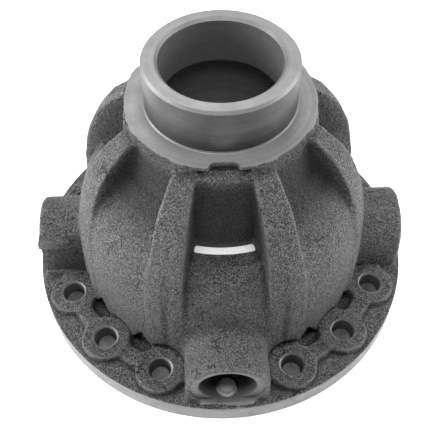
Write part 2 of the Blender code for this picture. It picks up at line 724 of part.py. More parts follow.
# ---------------------------------------------------------------- assembly
def main():
    clear_scene()
    parts = new_collection("differential_gear_assembly")
    cutters = new_collection("construction")
    build_flanged_case(parts, cutters)
    build_lower_case(parts, cutters)
    build_gears(parts, cutters)
    build_washers(parts, cutters)
    build_pins(parts, cutters)
    build_fasteners(parts, cutters)
    for item in cutters.all_objects:
        hide_cutter(item)
    datum = bpy.data.objects.new("flange_datum", None)
    parts.objects.link(datum)
    for item in parts.objects:
        if item.type == "MESH":
            item.parent = datum
    datum.location = (0.0, 0.0, -BOTTOM_FACE)


main()
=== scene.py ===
"""Looks of the differential gear assembly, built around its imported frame.

Metres, +Z along the axle axis.  Sizes named here are in millimetres, and heights are measured from
the underside of the case flange, whose place comes from the frame.  The two cast halves are made as
distance fields with cast fillets, turned into meshes, roughened, and then machined with boolean cuts.
"""
import math

import bmesh
import bpy
import numpy as np
from mathutils import Matrix, Vector, noise


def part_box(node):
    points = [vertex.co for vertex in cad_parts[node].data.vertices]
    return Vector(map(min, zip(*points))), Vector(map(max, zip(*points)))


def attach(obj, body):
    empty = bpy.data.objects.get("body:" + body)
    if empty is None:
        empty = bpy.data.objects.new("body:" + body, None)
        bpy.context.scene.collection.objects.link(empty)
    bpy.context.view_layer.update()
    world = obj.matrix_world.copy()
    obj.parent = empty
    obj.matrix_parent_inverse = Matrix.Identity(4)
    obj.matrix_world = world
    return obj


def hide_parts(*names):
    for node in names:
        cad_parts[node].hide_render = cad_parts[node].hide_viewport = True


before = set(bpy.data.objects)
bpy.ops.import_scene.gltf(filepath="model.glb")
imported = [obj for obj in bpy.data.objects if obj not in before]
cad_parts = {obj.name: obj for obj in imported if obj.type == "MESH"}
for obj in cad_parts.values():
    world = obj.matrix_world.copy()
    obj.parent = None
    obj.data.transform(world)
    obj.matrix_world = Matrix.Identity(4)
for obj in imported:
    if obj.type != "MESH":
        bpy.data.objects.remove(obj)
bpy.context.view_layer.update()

MM = 0.001
CASE_LOW, CASE_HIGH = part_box("flanged_case")
LOWER_LOW, LOWER_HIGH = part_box("lower_case")
DATUM = CASE_LOW.z
FLANGE_RADIUS = CASE_HIGH.x / MM
TOP_FACE = (CASE_HIGH.z - DATUM) / MM
BOTTOM_FACE = (LOWER_LOW.z - DATUM) / MM
LOWER_RADIUS = LOWER_HIGH.x / MM

# ---- sizes shared with the CAD, in millimetres ----
FLANGE_TOP = 14.2
JOURNAL_RADIUS = 42.5
JOURNAL_CHAMFER = 1.4
JOURNAL_BORE = 33.5
COLLAR_RADIUS = 53.6
COLLAR_FACE = 149.1
LOWER_SHOULDER = -50.3
RIM_SEAT_RADIUS = 119.6
JOINT_FACE = 0.3
GEAR_CENTRE = 30.0
SEAT_RADIUS = 84.0
POCKET_RADIUS = 68.0
THRUST_DISTANCE = 62.0
HUB_BORE = 36.0
PIN_RADIUS = 16.7
PIN_BORE = 17.0
PIN_END = 101.2
BOSS_HALF_WIDTH = 25.0
BOSS_FACE = 118.5
SPOT_RADIUS = 22.5
SPOT_DEPTH = 1.5
BOLT_CIRCLE = 106.3
BOLT_HOLE = 7.05
PAD_TOP = 18.4
LOCK_CIRCLE = 108.5
LOCK_TIP = 15.5
BOLT_SHANK = 6.7
BOLT_TIP = 10.0
LOWER_FLANGE_BOTTOM = -10.3
BLOCK_HALF = 26.0
WASHER_THICKNESS = 1.5
WASHER_RADIUS = 67.2
GAP = 0.25
SEAT_GAP = 0.55
REGISTER_RADIUS = 86.0
REGISTER_DEPTH = 4.0
SILL = 93.7
SLIT = (61.3, 67.4)
CHANNEL_EDGE = math.radians(15.5)
RIB_EDGE = math.radians(29.0)
QUARTERS = (0.0, 90.0, 180.0, 270.0)
SIDE_ANGLES = {"front": -90.0, "right": 0.0, "back": 90.0, "left": 180.0}
BOLT_AZIMUTHS = [22.5 * i for i in range(16) if i % 4]

# ---- gear set ----
SIDE_TEETH = 16
PINION_TEETH = 10
CONE_OUTER = 72.0
CONE_INNER = 50.0
PRESSURE_ANGLE = math.radians(25.0)
BACKLASH_ANGLE = math.radians(0.25)
MODULE = 2 * CONE_OUTER * math.sin(math.atan2(SIDE_TEETH, PINION_TEETH)) / SIDE_TEETH
PINION_ADDENDUM = 1.15 * MODULE
SIDE_ADDENDUM = 0.85 * MODULE
ROOT_CLEARANCE = 0.2 * MODULE

CAST_STEP = 1.1
TURN_STEPS = 192


# ---------------------------------------------------------------- mesh helpers
def new_object(name, mesh):
    item = bpy.data.objects.new(name, mesh)
    bpy.context.scene.collection.objects.link(item)
    return item


def mesh_object(name, points, faces, material):
    mesh = bpy.data.meshes.new(name)
    mesh.from_pydata(points, [], faces)
    mesh.update()
    mesh.materials.append(material)
    return new_object(name, mesh)


def polar(radius, angle):
    return (radius * math.cos(angle), radius * math.sin(angle))


def turned(name, profile, material, steps=TURN_STEPS):
    """A (radius, height) loop in millimetres turned about Z, running down its outer side.

    Points on the axis become single poles, so a loop may start and end there.
    """
    points, rings = [], []
    for radius, height in profile:
        start = len(points)
        if radius < 1e-6:
            points.append((0.0, 0.0, height * MM))
            rings.append([start] * steps)
        else:
            points += [(x, y, height * MM) for x, y in circle(radius * MM, steps)]
            rings.append(list(range(start, start + steps)))
    faces = []
    for upper, lower in zip(rings, rings[1:] + rings[:1]):
        for i in range(steps):
            k = (i + 1) % steps
            face = list(dict.fromkeys((upper[i], lower[i], lower[k], upper[k])))
            if len(face) > 2:
                faces.append(face)
    return mesh_object(name, points, faces, material)


def arc(radius, centre, start, end, steps):
    """Profile points on a circle about (0, centre); angles in degrees from the +Z axis."""
    angles = np.radians(np.linspace(start, end, steps + 1))
    return [(radius * math.sin(a), centre + radius * math.cos(a)) for a in angles]


def round_corner(centre, radius, start, end, steps=5):
    """Profile points round a small corner; angles in degrees from the +radius direction."""
    offsets = [polar(radius, a) for a in np.radians(np.linspace(start, end, steps + 1))]
    return [(centre[0] + x, centre[1] + y) for x, y in offsets]


def lean(radius, distance):
    """Angle from the axis, in degrees, of a point at this radius and distance from the gear centre."""
    return math.degrees(math.asin(radius / distance))


def prism(name, outline, low, high, material):
    """A flat (x, y) outline in millimetres, counter-clockwise, between two heights."""
    count = len(outline)
    points = [(x * MM, y * MM, z * MM) for z in (low, high) for x, y in outline]
    faces = [tuple(range(count))[::-1], tuple(range(count, 2 * count))]
    faces += [(i, (i + 1) % count, count + (i + 1) % count, count + i) for i in range(count)]
    return mesh_object(name, points, faces, material)


def circle(radius, sides):
    return [polar(radius, 2 * math.pi * i / sides) for i in range(sides)]


def about_z(degrees):
    return Matrix.Rotation(math.radians(degrees), 4, "Z")


def shift(x=0.0, y=0.0, z=0.0):
    return Matrix.Translation((x * MM, y * MM, z * MM))


def radial(degrees):
    """From the gear centre, with local +Z pointing outward at this azimuth."""
    return CENTRE @ about_z(degrees) @ Matrix.Rotation(math.pi / 2, 4, "Y")


def round_axis(radius, azimuths):
    return [about_z(a) @ shift(x=radius) for a in azimuths]


CENTRE = shift(z=GEAR_CENTRE)
UPPER_AND_LOWER = {"upper": CENTRE, "lower": CENTRE @ Matrix.Rotation(math.pi, 4, "X")}
BOLT_PLACES = round_axis(BOLT_CIRCLE, BOLT_AZIMUTHS)


def copies(item, places):
    """One joined mesh of the item's mesh at each place."""
    shape = bmesh.new()
    for place in places:
        mesh = item.data.copy()
        mesh.transform(place)
        shape.from_mesh(mesh)
        bpy.data.meshes.remove(mesh)
    shape.to_mesh(item.data)
    shape.free()
    return item


def boolean(item, operation, *others):
    """Boolean with each other object in turn; the others are used up."""
    for other in others:
        change = item.modifiers.new("cut", "BOOLEAN")
        change.operation = operation
        change.solver = "MANIFOLD"
        change.material_mode = "TRANSFER"
        change.object = other
        graph = bpy.context.evaluated_depsgraph_get()
        mesh = bpy.data.meshes.new_from_object(item.evaluated_get(graph))
        item.modifiers.clear()
        item.data = mesh
        bpy.data.objects.remove(other, do_unlink=True)
    return item


def in_frame(item, body, slot, *nodes):
    """Moves a finished piece from flange heights into the frame, where it stands for its CAD nodes."""
    item.data.transform(Matrix.Translation((0.0, 0.0, DATUM)))
    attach(item, body)
    if nodes:
        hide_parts(*nodes)
    return item


def each_vertex(mesh, name):
    values = np.zeros(len(mesh.vertices) * 3, np.float32)
    mesh.vertices.foreach_get(name, values)
    return values.reshape(-1, 3)


def mark_wear_and_shade(item):
    """Stores how far each vertex stands out from its neighbours: convex for rubbed edges (wear), concave for
    painted shade in corners.
    """
    mesh = item.data
    count = len(mesh.vertices)
    places, normals = each_vertex(mesh, "co").astype(float), each_vertex(mesh, "normal")
    ends = np.zeros(len(mesh.edges) * 2, np.int32)
    mesh.edges.foreach_get("vertices", ends)
    one, two = ends.reshape(-1, 2).T
    size = np.linalg.norm(places[one] - places[two], axis=1)
    degree = np.maximum(np.bincount(one, minlength=count) + np.bincount(two, minlength=count), 1)

    def gathered(values):
        return (np.bincount(one, values[two], count) + np.bincount(two, values[one], count)) / degree

    centre = np.stack([gathered(places[:, i]) for i in range(3)], axis=1)
    length = (np.bincount(one, size, count) + np.bincount(two, size, count)) / degree
    wear_and_shade = -np.einsum("ij,ij->i", centre - places, normals) / np.maximum(length, 1e-6)
    smoothings, contrast = 2, 4.0
    for _ in range(smoothings):
        wear_and_shade = 0.5 * wear_and_shade + 0.5 * gathered(wear_and_shade)
    store(mesh, "wear_and_shade", np.clip(wear_and_shade * contrast, -1.0, 1.0))


def mark_recess_shade(item, side, deepest, start):
    """Stores how deep each vertex lies behind the ribs' turned outline, from a start height on, as a mask
    for painted shade in the recesses.

    Inside the slits' inner wall the start height doesn't count.
    """
    x, y, z = each_vertex(item.data, "co").T / MM
    radius = np.hypot(x, y)
    levels, radii = zip(*sorted((level, r) for r, level in side))
    rib = np.interp(z, levels, radii, left=0.0, right=0.0)
    fade = 6.0
    past = np.clip((np.abs(z) - start) / fade, 0.0, 1.0)
    past[radius < SLIT[0] + 0.3] = 1.0
    store(item.data, "recess_shade", np.clip((rib - radius) / deepest, 0.0, 1.0) * past)


def store(mesh, name, values):
    layer = mesh.attributes.new(name, "FLOAT", "POINT")
    layer.data.foreach_set("value", values.astype(np.float32))


def cast_shading(item):
    """Soft shading on the cast skin, crisp where it was machined."""
    shape = bmesh.new()
    shape.from_mesh(item.data)
    machined_limit, cast_limit = math.radians(25.0), math.radians(70.0)
    for face in shape.faces:
        face.smooth = True
    for edge in shape.edges:
        on_cast = all(face.material_index == 0 for face in edge.link_faces)
        edge.smooth = edge.calc_face_angle(0.0) < (cast_limit if on_cast else machined_limit)
    shape.to_mesh(item.data)
    shape.free()
    mark_wear_and_shade(item)


def smooth(item, angle=32.0):
    item.data.shade_smooth()
    item.data.set_sharp_from_angle(angle=math.radians(angle))
    return item


# ---------------------------------------------------------------- materials
def grey(level):
    return (level, level, level, 1.0)


class Nodes:
    """Short calls for the nodes of a material or world."""

    def __init__(self, owner, shader, coordinates):
        owner.use_nodes = True
        self.tree = owner.node_tree
        self.shader = self.tree.nodes[shader]
        self.place = self.node("ShaderNodeTexCoord").outputs[coordinates]

    def node(self, kind, **settings):
        item = self.tree.nodes.new(kind)
        for key, value in settings.items():
            setattr(item, key, value)
        return item

    def feed(self, socket, value):
        if isinstance(value, bpy.types.NodeSocket):
            self.tree.links.new(value, socket)
        else:
            socket.default_value = value

    def maths(self, operation, a, b=0.0):
        item = self.node("ShaderNodeMath", operation=operation)
        self.feed(item.inputs[0], a)
        self.feed(item.inputs[1], b)
        return item.outputs[0]

    def split(self):
        """The x, y and z of the coordinates."""
        parts = self.node("ShaderNodeSeparateXYZ")
        self.feed(parts.inputs[0], self.place)
        return parts.outputs

    def spread(self, value, low, high, start=0.0, end=1.0):
        """Maps low..high of a value onto start..end, held at the ends."""
        item = self.node("ShaderNodeMapRange")
        self.feed(item.inputs["Value"], value)
        for key, limit in (("From Min", low), ("From Max", high), ("To Min", start), ("To Max", end)):
            item.inputs[key].default_value = limit
        return item.outputs["Result"]


class Paint(Nodes):
    """A Principled material and short calls for the textures that feed it."""

    def __init__(self, name, roughness, metallic):
        self.material = bpy.data.materials.new(name)
        super().__init__(self.material, "Principled BSDF", "Object")
        self.shader.inputs["Roughness"].default_value = roughness
        self.shader.inputs["Metallic"].default_value = metallic

    def noise(self, size, detail, rough, place=None, distortion=0.0):
        """Noise with lumps of this size in millimetres, from 0 to 1."""
        item = self.node("ShaderNodeTexNoise")
        self.feed(item.inputs["Vector"], place or self.place)
        item.inputs["Scale"].default_value = 1.0 / (size * MM)
        item.inputs["Detail"].default_value = detail
        item.inputs["Roughness"].default_value = rough
        item.inputs["Distortion"].default_value = distortion
        return item.outputs["Fac"]

    def cracks(self, size):
        """Distance from the walls of wavy cells of this size, for fine broken lines."""
        item = self.node("ShaderNodeTexVoronoi", feature="DISTANCE_TO_EDGE")
        wave = self.node("ShaderNodeTexNoise")
        waves_per_cell, wave_share = 2.5, 0.35
        wave.inputs["Scale"].default_value = waves_per_cell / (size * MM)
        self.feed(wave.inputs["Vector"], self.place)
        bend = self.node("ShaderNodeVectorMath", operation="MULTIPLY_ADD")
        self.feed(bend.inputs[0], wave.outputs["Color"])
        bend.inputs[1].default_value = (wave_share * size * MM,) * 3
        self.feed(bend.inputs[2], self.place)
        self.feed(item.inputs["Vector"], bend.outputs[0])
        item.inputs["Scale"].default_value = 1.0 / (size * MM)
        return item.outputs["Distance"]

    def colours(self, share, *stops):
        """Colour ramp through grey or RGB stops."""
        ramp = self.node("ShaderNodeValToRGB")
        while len(ramp.color_ramp.elements) < len(stops):
            ramp.color_ramp.elements.new(0.5)
        for element, (position, colour) in zip(ramp.color_ramp.elements, stops):
            element.position = position
            element.color = grey(colour) if isinstance(colour, float) else (*colour, 1.0)
        self.feed(ramp.inputs["Fac"], share)
        return ramp.outputs["Color"]

    def blend(self, share, a, b):
        item = self.node("ShaderNodeMix", data_type="RGBA")
        self.feed(item.inputs["Factor"], share)
        self.feed(item.inputs[6], a)
        self.feed(item.inputs[7], b)
        return item.outputs[2]

    def finish(self, colour, roughness, height, distance, strength):
        """Feeds the shader: base colour, roughness, and a bump of this height in millimetres."""
        item = self.node("ShaderNodeBump")
        item.inputs["Distance"].default_value = distance * MM
        item.inputs["Strength"].default_value = strength
        self.feed(item.inputs["Height"], height)
        self.feed(self.shader.inputs["Base Color"], colour)
        self.feed(self.shader.inputs["Roughness"], roughness)
        self.feed(self.shader.inputs["Normal"], item.outputs["Normal"])
        return self.material

    def rings(self):
        """Coordinates that change with radius and height, and barely round the axis."""
        x, y, z = self.split()
        squared = self.maths("ADD", self.maths("MULTIPLY", x, x), self.maths("MULTIPLY", y, y))
        joined = self.node("ShaderNodeCombineXYZ")
        self.feed(joined.inputs[0], self.maths("SQRT", squared))
        self.feed(joined.inputs[1], z)
        around = 0.02
        self.feed(joined.inputs[2], self.maths("MULTIPLY", x, around))
        return joined.outputs[0]


def cast_iron_material():
    """Sand-cast skin: sharp speckle, pits, scars, rubbed edges, and painted shade in corners and recesses.
    """
    paint = Paint("sand_cast_iron", 0.6, 0.2)
    wear_and_shade = paint.node("ShaderNodeAttribute", attribute_name="wear_and_shade").outputs["Fac"]
    recess_shade = paint.node("ShaderNodeAttribute", attribute_name="recess_shade").outputs["Fac"]
    # The second near-black colour is painted shade, laid into concave corners and recesses.
    pit_black, painted_shade, rubbed, sand = grey(0.010), grey(0.012), grey(0.27), grey(0.10)
    grain = paint.noise(0.8, 2.0, 0.75)
    lumps = paint.noise(2.4, 2.0, 0.6)
    broad = paint.noise(34.0, 2.0, 0.5)
    speckle = paint.spread(paint.maths("ADD", grain, paint.maths("MULTIPLY", lumps, 0.15)), 0.46, 0.69)
    colour = paint.colours(speckle, (0.0, 0.008), (0.5, 0.067), (1.0, 0.20))
    colour = paint.blend(paint.spread(broad, 0.35, 0.7, 0.0, 0.25), colour, sand)
    colour = paint.blend(paint.spread(wear_and_shade, 0.15, 0.8, 0.0, 0.6), colour, rubbed)
    # Painted shade: concave corners and fillets are darkened towards near black. Convex edges on the line
    # above are lighter from wear.
    colour = paint.blend(paint.spread(wear_and_shade, -0.06, -0.45, 0.0, 0.8), colour, painted_shade)
    # Painted shade: the window channels and the hollows behind the ribs are darkened by how deep they lie.
    colour = paint.blend(paint.spread(recess_shade, 0.25, 1.0, 0.0, 0.72), colour, painted_shade)
    pitted = paint.spread(paint.noise(2.2, 1.0, 0.5, distortion=1.2), 0.25, 0.32, 1.0, 0.0)
    scars = paint.maths("MULTIPLY", paint.spread(paint.cracks(6.0), 0.0, 0.07, 1.0, 0.0),
                        paint.spread(paint.noise(18.0, 1.0, 0.5), 0.62, 0.68))
    marks = paint.maths("MAXIMUM", pitted, scars)
    height = paint.maths("ADD", grain, paint.maths("MULTIPLY", lumps, 1.2))
    return paint.finish(paint.blend(marks, colour, pit_black), paint.spread(grain, 0.3, 0.7, 0.72, 0.46),
                        paint.maths("SUBTRACT", height, marks), 1.0, 1.5)


def machined_material(name, dark, light, roughness, marks_size, marks_height, smudge_level, metallic=0.75):
    """Turned or ground metal: rings of tool marks, bands, and uneven smudges."""
    paint = Paint(name, roughness, metallic)
    rings = paint.rings()
    marks = paint.noise(marks_size, 1.0, 0.5, rings)
    bands = paint.noise(3.0, 2.0, 0.6, rings)
    smudge = paint.noise(12.0, 3.0, 0.6)
    grain = paint.noise(0.9, 2.0, 0.7)
    colour = paint.colours(bands, (0.25, dark), (0.75, light))
    colour = paint.blend(paint.spread(smudge, 0.38, 0.7, 0.0, 0.5), colour, grey(smudge_level))
    colour = paint.blend(paint.spread(grain, 0.35, 0.75, 0.0, 0.25), colour, grey(dark * 0.6))
    shine = paint.spread(smudge, 0.3, 0.7, roughness - 0.04, roughness + 0.1)
    return paint.finish(colour, shine, marks, marks_height, 0.5)


def plain_metal_material(name, colour, roughness, metallic, spots):
    """Fastener and gear finish: fine grain, darker patches by the share spots, brighter rubbed ones."""
    paint = Paint(name, roughness, metallic)
    grain = paint.noise(0.6, 2.0, 0.6)
    patches = paint.noise(7.0, 3.0, 0.6)
    dark = tuple(c * spots for c in colour)
    light = tuple(min(1.0, c * 1.25) for c in colour)
    shade = paint.colours(patches, (0.3, dark), (0.55, colour), (0.75, light))
    shine = paint.spread(patches, 0.3, 0.7, roughness + 0.08, roughness - 0.05)
    return paint.finish(shade, shine, grain, 0.03, 0.5)


# ---------------------------------------------------------------- distance fields of the castings
def smooth_min(a, b, blend):
    """Union of two distance fields with a fillet of about this size."""
    share = np.clip(0.5 + 0.5 * (b - a) / blend, 0.0, 1.0)
    return b + (a - b) * share - blend * share * (1.0 - share)


def smooth_max(a, b, blend):
    return -smooth_min(-a, -b, blend)


def profile_distance(profile, radius, height):
    """Signed distance, inside negative, to the solid turned from a closed outline."""
    step = 0.5
    low = np.array([0.0, min(z for _, z in profile) - 12.0])
    high = np.array([134.0, max(z for _, z in profile) + 12.0])
    r, z = np.meshgrid(np.arange(low[0], high[0], step), np.arange(low[1], high[1], step), indexing="ij")
    nearest = np.full(r.shape, 1e9)
    inside = np.zeros(r.shape, bool)
    for (r0, z0), (r1, z1) in zip(profile, profile[1:] + profile[:1]):
        along = ((r - r0) * (r1 - r0) + (z - z0) * (z1 - z0)) / ((r1 - r0) ** 2 + (z1 - z0) ** 2)
        along = np.clip(along, 0.0, 1.0)
        gap = np.hypot(r - r0 - along * (r1 - r0), z - z0 - along * (z1 - z0))
        if r0 > 0.0 or r1 > 0.0:
            nearest = np.minimum(nearest, gap)
        crosses = (z0 > z) != (z1 > z)
        rise = z1 - z0 if z1 != z0 else 1.0
        inside ^= crosses & (r < r0 + (z - z0) * (r1 - r0) / rise)
    table = np.where(inside, -nearest, nearest).astype(np.float32)
    i = np.clip((radius - low[0]) / step, 0, table.shape[0] - 1.001)
    j = np.clip((height - low[1]) / step, 0, table.shape[1] - 1.001)
    i0, j0 = i.astype(int), j.astype(int)
    fi, fj = (i - i0).astype(np.float32), (j - j0).astype(np.float32)
    near = table[i0, j0] * (1 - fj) + table[i0, j0 + 1] * fj
    far = table[i0 + 1, j0] * (1 - fj) + table[i0 + 1, j0 + 1] * fj
    return near * (1 - fi) + far * fi


class Quarter:
    """Sample points of one quarter, x and y positive, folded onto its first 45 degrees."""

    def __init__(self, reach, low, high, step):
        across = (np.arange(int(reach / step) + 2) + 0.5) * step
        self.heights = np.arange(low, high + step, step)
        x, y, z = np.meshgrid(across, across, self.heights, indexing="ij")
        self.z = z.astype(np.float32)
        self.out = np.maximum(x, y).astype(np.float32)
        self.side = np.minimum(x, y).astype(np.float32)
        self.r = np.hypot(x, y).astype(np.float32)
        self.turn = np.arctan2(self.side, self.out)
        self.step = step

    def beyond(self, angle):
        """Distance past the upright plane at this angle, towards 45 degrees."""
        return self.r * np.sin(self.turn - angle)

    def bolt_distance(self):
        """Distance from the nearest bolt axis."""
        nearest = [polar(BOLT_CIRCLE, math.radians(a)) for a in (22.5, 45.0)]
        return np.minimum(*(np.hypot(self.out - x, self.side - y) for x, y in nearest))


def surface_of(name, quarter, field, material):
    """Mesh of the field's zero surface over all four quarters, by the surface net method."""
    half = np.concatenate([field[::-1], field], axis=0)
    full = np.concatenate([half[:, ::-1], half], axis=1)
    step = quarter.step
    origin = np.array([-(field.shape[0] - 0.5) * step, -(field.shape[1] - 0.5) * step, quarter.heights[0]])
    inside = full < 0
    corners = [(a, b, c) for a in (0, 1) for b in (0, 1) for c in (0, 1)]
    nx, ny, nz = (n - 1 for n in full.shape)

    def corner(values, offset):
        a, b, c = offset
        return values[a:a + nx, b:b + ny, c:c + nz]

    total = sum(corner(inside, o).astype(np.int8) for o in corners)
    cells = np.argwhere((total > 0) & (total < 8))
    index = np.full((nx, ny, nz), -1, np.int32)
    index[tuple(cells.T)] = np.arange(len(cells))
    place = np.zeros((len(cells), 3))
    hits = np.zeros(len(cells))
    for start in corners:
        for axis in range(3):
            if start[axis]:
                continue
            end = tuple(1 if i == axis else v for i, v in enumerate(start))
            a = full[tuple((cells + start).T)]
            b = full[tuple((cells + end).T)]
            cut = (a < 0) != (b < 0)
            share = np.where(cut, a / np.where(cut, a - b, 1.0), 0.0)
            point = np.array(start, float)[None, :] + np.eye(3)[axis][None, :] * share[:, None]
            place += point * cut[:, None]
            hits += cut
    place = (origin + (cells + place / hits[:, None]) * step) * MM
    faces = []
    for axis in range(3):
        one, two = [(1, 2), (2, 0), (0, 1)][axis]
        ahead = np.roll(inside, -1, axis=axis)
        changed = inside != ahead
        keep = [slice(1, n) for n in (nx, ny, nz)]
        keep[axis] = slice(0, (nx, ny, nz)[axis])
        found = np.argwhere(changed[tuple(keep)])
        found += [0 if i == axis else 1 for i in range(3)]
        back_one, back_two = np.eye(3, dtype=int)[one], np.eye(3, dtype=int)[two]
        ring = [found, found - back_one, found - back_one - back_two, found - back_two]
        quad = np.stack([index[tuple(c.T)] for c in ring], axis=1)
        outward = inside[tuple(found.T)]
        quad[~outward] = quad[~outward][:, ::-1]
        faces += quad.tolist()
    item = mesh_object(name, place, faces, material)
    item.data.validate()
    return item


def roughen(item, seed):
    """Uneven sand-cast skin: broad waves and small lumps along the normals."""
    mesh = item.data
    places, normals = each_vertex(mesh, "co"), each_vertex(mesh, "normal")
    start = Vector((seed * 3.1, seed * 1.7, seed * 2.3))
    push = np.zeros(len(places))
    for size, height in ((22.0, 0.30), (7.0, 0.16), (2.6, 0.16)):
        spots = places / (size * MM)
        push += height * np.array([noise.noise(Vector(p) + start) for p in spots])
    mesh.vertices.foreach_set("co", (places + normals * push[:, None] * MM).astype(np.float32).ravel())
    mesh.update()
    return item


# ---------------------------------------------------------------- flanged case
PIT_FLOOR = 12.6
NOTCH_FLOOR = 144.6
NOTCH_EDGE = [(48.8, 5.4), (49.3, 6.6), (50.4, 7.5), (51.8, 8.1), (52.8, 8.8), (53.4, 9.8), (60.0, 9.8)]
# The left boss has a raised crease and, below it, a side that is set in.
CREASE = [(-118.3, -23.8), (-84.0, -23.8), (-84.0, -6.0), (-118.3, -6.0)]
SET_IN = [(-121.0, -28.0), (-82.0, -28.0), (-86.0, -22.9), (-117.3, -22.9), (-117.3, -12.0), (-121.0, -12.0)]
RIB_SIDE = [(54.0, 141.0), (58.2, 140.6), (64.0, 135.8), (71.0, 129.5), (77.0, 121.5), (81.0, 113.5),
            (84.5, 105.5), (87.0, 97.0), (89.0, 87.0), (91.0, 78.0), (92.0, 63.0), (93.0, 45.0),
            (94.0, 14.0)]
PANEL_SIDE = [(53.0, 146.0), (53.5, 136.0), (55.5, 129.0), (59.0, 120.5), (64.0, 117.4), (70.5, 113.5),
              (76.0, 109.0), (80.0, 104.5), (84.0, 99.0), (87.5, 90.0), (90.5, 78.0), (92.0, 66.0),
              (93.0, 52.0), (94.0, 14.0)]
CHANNEL_SIDE = [(50.9, 146.0), (50.9, 144.0), (55.1, 139.9), (55.6, 133.0), (57.0, 120.0),
                (61.8, SILL), (77.0, SILL), (82.0, 88.0), (86.0, 80.0), (89.6, 68.0), (92.8, 54.0),
                (94.0, 14.0)]


def closed_profile(side):
    """A side outline closed along the axis, reaching past the faces that are cut flat later."""
    above, below = COLLAR_FACE + 2.0, -2.0
    return [(0.0, above), (COLLAR_RADIUS, above), (COLLAR_RADIUS, 146.3)] + side \
        + [(94.0, below), (0.0, below)]


def bell_field(q):
    rib = profile_distance(closed_profile(RIB_SIDE), q.r, q.z)
    panel = profile_distance(closed_profile(PANEL_SIDE), q.r, q.z)
    channel = profile_distance(closed_profile(CHANNEL_SIDE), q.r, q.z)
    inner, outer = math.radians(20.0), math.radians(24.0)
    rib = smooth_max(smooth_max(rib, -q.beyond(CHANNEL_EDGE), 2.0), q.beyond(RIB_EDGE), 1.2)
    panel = np.maximum(panel, -q.beyond(outer))
    channel = np.maximum(channel, q.beyond(inner))
    return smooth_min(smooth_min(rib, channel, 2.5), panel, 4.0)


def boss_field(q):
    """Square foot with a round top, a little wider towards the flange."""
    rise = q.z - GEAR_CENTRE
    flare = np.clip(-rise, 0.0, 30.0) * 0.02
    side = np.where(rise < 0, q.side - flare, np.hypot(q.side, np.maximum(rise, 0.0)))
    return smooth_max(side - BOSS_HALF_WIDTH, q.out - BOSS_FACE, 2.5)


def pad_field(q):
    """Round pads with nearly upright sides; each one runs into the bell wall behind it."""
    fall = np.clip(PAD_TOP - q.z, -2.0, 8.0)
    return smooth_max(q.bolt_distance() - 15.0 - 0.12 * fall, q.z - PAD_TOP, 0.6)


def band_field(q):
    """Raised band that joins the pads, clear of the bell wall."""
    fall = np.clip(PAD_TOP - q.z, -2.0, 8.0)
    band = np.abs(q.r - 105.2) - 4.6 - 0.3 * fall
    band = np.maximum(band, -q.beyond(math.radians(10.0)))
    return smooth_max(band, q.z - PAD_TOP + 0.6, 1.0)


def pit_field(q):
    """Cuts in the foot of the bell wall: round behind each pad, and pointed upwards between pads."""
    middle = np.minimum(np.abs(q.beyond(math.radians(33.75))), np.abs(q.beyond(math.radians(56.25))))
    rise = np.maximum(q.z - PIT_FLOOR, 0.0)
    width = np.clip(9.0 - 0.62 * rise, -1.0, 9.0)
    across = np.maximum(q.r - 101.0, 90.4 + 0.05 * rise - q.r)
    pocket = smooth_max(smooth_max(middle - width, across, 1.5), PIT_FLOOR - q.z, 1.0)
    above = np.maximum(q.z - PAD_TOP, 0.0)
    wall = smooth_max(q.bolt_distance() - 17.2 + 0.6 * above, PAD_TOP - q.z, 1.0)
    return smooth_min(pocket, wall, 1.0)


def case_field(q):
    flange = np.maximum(q.r - FLANGE_RADIUS - 1.5, np.maximum(q.z - FLANGE_TOP, -2.0 - q.z))
    body = smooth_min(bell_field(q), flange, 3.0)
    body = smooth_max(body, -pit_field(q), 2.0)
    body = smooth_min(body, boss_field(q), 4.0)
    body = smooth_min(body, smooth_min(pad_field(q), band_field(q), 3.0), 0.8)
    return np.maximum(body, np.maximum(q.z - COLLAR_FACE - 2.0, -2.0 - q.z))


def case_envelope(metal):
    """All that the lathe leaves: collar face, flange rim and underside."""
    core, clear = 20.0, 140.0
    profile = [(core, COLLAR_FACE), (COLLAR_RADIUS + 3.0, COLLAR_FACE), (clear, 140.0), (clear, 24.0),
               (FLANGE_RADIUS, 24.0), (FLANGE_RADIUS, 0.8), (FLANGE_RADIUS - 0.8, 0.0),
               (RIM_SEAT_RADIUS, 0.0), (RIM_SEAT_RADIUS, JOINT_FACE), (core, JOINT_FACE)]
    return turned("case_envelope", profile, metal)


def journal_ring(metal, face, shoulder):
    """Bearing journal standing on a shoulder, with a fillet at its foot and chamfered ends."""
    up = 1.0 if face > shoulder else -1.0
    fillet, core = 1.6, 20.0
    profile = [(core, face), (JOURNAL_RADIUS - JOURNAL_CHAMFER, face),
               (JOURNAL_RADIUS, face - up * JOURNAL_CHAMFER)]
    profile += [(r, shoulder + up * rise) for r, rise in
                round_corner((JOURNAL_RADIUS + fillet, fillet - 0.15), fillet, 180.0, 265.0)]
    profile += [(profile[-1][0], shoulder - up * 3.0), (core, shoulder - up * 3.0)]
    return turned("journal_ring", profile if up > 0 else profile[::-1], metal)


def case_cavity(metal):
    top = TOP_FACE + 2.5
    profile = [(JOURNAL_BORE + 4.1, top), (JOURNAL_BORE, TOP_FACE - 1.6), (JOURNAL_BORE, 148.0),
               (38.5, 146.0), (38.5, 108.0), (HUB_BORE, 106.0), (HUB_BORE, GEAR_CENTRE + THRUST_DISTANCE),
               (POCKET_RADIUS, GEAR_CENTRE + THRUST_DISTANCE)]
    start = lean(POCKET_RADIUS, SEAT_RADIUS)
    end = math.degrees(math.acos((REGISTER_DEPTH - GEAR_CENTRE) / SEAT_RADIUS))
    profile += arc(SEAT_RADIUS, GEAR_CENTRE, start, end, 24)
    core = 10.0
    profile += [(REGISTER_RADIUS, REGISTER_DEPTH), (REGISTER_RADIUS, -5.0), (core, -5.0), (core, top)]
    return turned("case_cavity", profile, metal)


